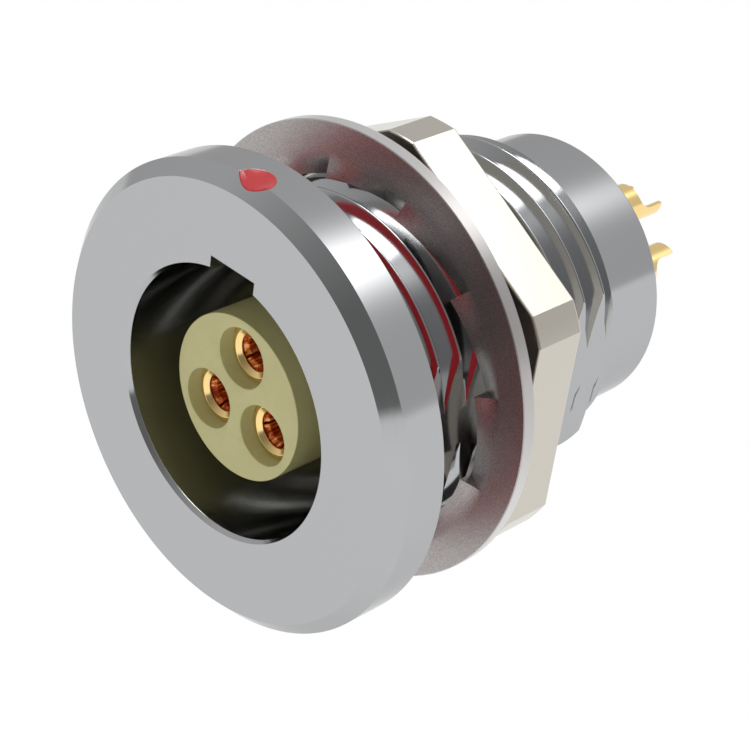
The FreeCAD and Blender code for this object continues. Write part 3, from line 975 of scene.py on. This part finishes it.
retainer = turned("retainer", softened([
    (RETAINER_BORE_R, RETAINER_FRONT, 0.04),
    (RETAINER_R, RETAINER_FRONT, 0.04),
    (RETAINER_R, RETAINER_BACK, 0.05),
    (RETAINER_BORE_R, RETAINER_BACK, 0.05),
]), sides=128)
spanner_slot = block(
    (-4.4, SPANNER_SLOT_FRONT, -SPANNER_SLOT_HALF_WIDTH),
    (4.4, RETAINER_BACK + 0.2, SPANNER_SLOT_HALF_WIDTH),
)
retainer = machined(retainer, [spanner_slot])
plated_brass, tree, shader = new_finish(
    "plated_brass", NUT_NICKEL, metallic=1.0, roughness=0.24
)
marks = turning_marks(tree, fineness=7000.0)
textured(tree, shader, marks, roughness=(0.18, 0.28), depth=0.0006)
fitted("retainer", retainer, plated_brass, "shell", "nickel_brass", "retaining_ring")

# Contacts
# Three gold plated brass sockets in a ring. Each is a slotted spring tube inside a thin hood
# with a rounded lip, and ends behind the core in a solder cup with its outer side scooped open.
GOLD = (1.0, 0.74, 0.32, 1.0)
# Painted light inside each socket: deep red and orange are painted light bouncing round inside the
# gold tube, the dark tone is painted shade, and cream is painted highlight streaks.
SOCKET_PAINTED_BOUNCE_RED = (0.95, 0.30, 0.06, 1.0)
SOCKET_PAINTED_SHADE = (0.42, 0.040, 0.004, 1.0)
SOCKET_PAINTED_BOUNCE_ORANGE = (1.0, 0.25, 0.035, 1.0)
SOCKET_PAINTED_HIGHLIGHT = (1.0, 0.70, 0.32, 1.0)
SOCKET_STREAKS = (9000.0, 1100.0, 9000.0)
CONTACT_R = 0.85
HOOD_FRONT = -0.72
HOOD_END = 3.81
HOOD_BORE_R = 0.77
HOOD_MOUTH_R = 0.65
LIP_R = 1.0
LIP_FACE_R = 0.84
TINE_FRONT = -0.46
TINE_R = 0.74
TINE_SLOT_LENGTH = 3.0
TINE_SLOT_HALF_WIDTH = 0.05
TINE_SLOT_REACH = 1.2
TINE_SLOT_LEANS = (45.0, 135.0)
PIN_BORE_R = 0.60
PIN_BORE_END = 3.04
SOCKET_R = 0.745
SOCKET_FRONT = HOOD_FRONT + 0.16
COLLAR_FRONT = 9.25
COLLAR_BACK = 10.45
CUP_START = 15.6
TAIL_R = 0.76
TAIL_END = 19.2
SCOOP_LENGTH = 1.25
SCOOP_R = 0.6
SCOOP_FLOOR = 1.55
SCOOP_TOP = 3.2
SCOOP_HALF_WIDTH = 1.3
SCOOP_STEPS = 12

top_place = (0.0, CONTACT_PITCH_R)
hood = turned("hood", softened([
    (HOOD_BORE_R, HOOD_END, 0.0),
    (CONTACT_R, HOOD_END, 0.0),
    (CONTACT_R, HOOD_FRONT + 0.9, 0.0),
    (LIP_R, HOOD_FRONT + 0.8, 0.0),
    (LIP_R, HOOD_FRONT + 0.05, 0.03),
    (LIP_FACE_R, HOOD_FRONT, 0.04),
    (HOOD_MOUTH_R + 0.01, HOOD_FRONT + 0.12, 0.03),
    (HOOD_MOUTH_R, HOOD_FRONT + 0.15, 0.0),
    (HOOD_MOUTH_R, HOOD_FRONT + 0.18, 0.0),
    (HOOD_BORE_R, HOOD_FRONT + 0.19, 0.0),
], margin=0.005), 72, top_place)
body = turned("contact", softened([
    (PIN_BORE_R, TINE_FRONT + 0.14, 0.03),
    (TINE_R - 0.02, TINE_FRONT, 0.0),
    (TINE_R, TINE_FRONT, 0.0),
    (TINE_R, WELL_END, 0.0),
    (CONTACT_R, WELL_END, 0.0),
    (CONTACT_R, COLLAR_FRONT, 0.0),
    (COLLAR_R, COLLAR_FRONT, 0.03),
    (COLLAR_R, COLLAR_BACK, 0.03),
    (CONTACT_R, COLLAR_BACK, 0.0),
    (CONTACT_R, SHELL_END, 0.0),
    (TAIL_R, SHELL_END + 0.1, 0.0),
    (TAIL_R, TAIL_END, 0.03),
    (PIN_BORE_R, TAIL_END, 0.03),
    (PIN_BORE_R, CUP_START + 0.2, 0.0),
    (PIN_BORE_R - 0.25, CUP_START, 0.0),
    (0.0, CUP_START - 0.05, 0.0),
    (0.0, PIN_BORE_END, 0.0),
    (PIN_BORE_R, PIN_BORE_END, 0.0),
], steps=3), 72, top_place)
cutters = []
for lean in TINE_SLOT_LEANS:
    across = Vector((math.cos(math.radians(lean)), 0.0, math.sin(math.radians(lean))))
    thick = Vector((-across.z, 0.0, across.x)) * TINE_SLOT_HALF_WIDTH
    middle = Vector((0.0, 0.0, CONTACT_PITCH_R))
    spots = [
        middle + across * (reach * TINE_SLOT_REACH) + thick * side + Vector((0.0, y, 0.0))
        for reach in (-1, 1)
        for y in (TINE_FRONT - 0.1, TINE_FRONT + TINE_SLOT_LENGTH)
        for side in (-1, 1)
    ]
    cutters.append(closed_mesh("cutter", spots, BOX_FACES))
scoop_start = TAIL_END - SCOOP_LENGTH
scoop_past = TAIL_END + 0.3
scoop_line = []
for index in range(SCOOP_STEPS + 1):
    turn = math.radians(90.0 * index / SCOOP_STEPS)
    scoop_line.append((
        scoop_start + SCOOP_R * (1 - math.cos(turn)), SCOOP_FLOOR + SCOOP_R * (1 - math.sin(turn))
    ))
scoop_line += [(scoop_past, SCOOP_FLOOR), (scoop_past, SCOOP_TOP), (scoop_start, SCOOP_TOP)]
count = len(scoop_line)
spots = [(x, y, z) for x in (-SCOOP_HALF_WIDTH, SCOOP_HALF_WIDTH) for y, z in scoop_line]
faces = [tuple(range(count)), tuple(range(count, 2 * count))]
for index in range(count):
    following = (index + 1) % count
    faces.append((index, following, count + following, count + index))
cutters.append(closed_mesh("cutter", spots, faces))
body = machined(body, cutters)

gold_plate, tree, shader = new_finish("gold_plate", GOLD, metallic=1.0, roughness=0.16)
grain = speckle(tree, fineness=6000.0, detail=3.0)
textured(tree, shader, grain, roughness=(0.12, 0.2), depth=0.0008)
hoods = around_the_axis("hood_ring", hood, CONTACT_COUNT, gold_plate)
bodies = around_the_axis("contact_ring", body, CONTACT_COUNT, gold_plate)
fitted(
    "contact_hoods", hoods, gold_plate, "shell", "gold_plated_brass",
    "contact_hood_1", "contact_hood_2", "contact_hood_3",
)
sockets = fitted(
    "contact_sockets", bodies, gold_plate, "shell", "gold_plated_brass",
    "contact_body_1", "contact_body_2", "contact_body_3",
)


def in_a_socket(spot):
    """Whether a place is inside one of the three contacts, in front of its collar."""
    nearest = min(math.hypot(spot.x - x, spot.z - z) for x, z in contact_places)
    return nearest < SOCKET_R and SOCKET_FRONT < spot.y < PIN_BORE_END + 0.1


# Painted light on the sockets' inner faces. Streaks stretched along the bore run from painted shade
# through red-orange painted inter-reflection to cream painted highlights. The shader is half
# diffuse so that this painted light shows deep inside.
socket_painted_light, tree, shader = new_finish("socket_painted_light", SOCKET_PAINTED_BOUNCE_RED, metallic=0.5, roughness=0.3)
place = add_node(tree, "ShaderNodeTexCoord").outputs["Object"]
streak_place = add_node(
    tree, "ShaderNodeMapping", {"Vector": place, "Scale": SOCKET_STREAKS}
).outputs["Vector"]
streaks = add_node(
    tree, "ShaderNodeTexNoise", {"Vector": streak_place, "Scale": 1.0, "Detail": 3.0}
).outputs["Fac"]
toned(
    tree, shader, streaks,
    (0.42, SOCKET_PAINTED_SHADE), (0.56, SOCKET_PAINTED_BOUNCE_ORANGE), (0.66, SOCKET_PAINTED_HIGHLIGHT),
)
textured(tree, shader, streaks, roughness=(0.16, 0.36), depth=0.010)
lined(sockets, socket_painted_light, in_a_socket)

bpy.context.view_layer.update()
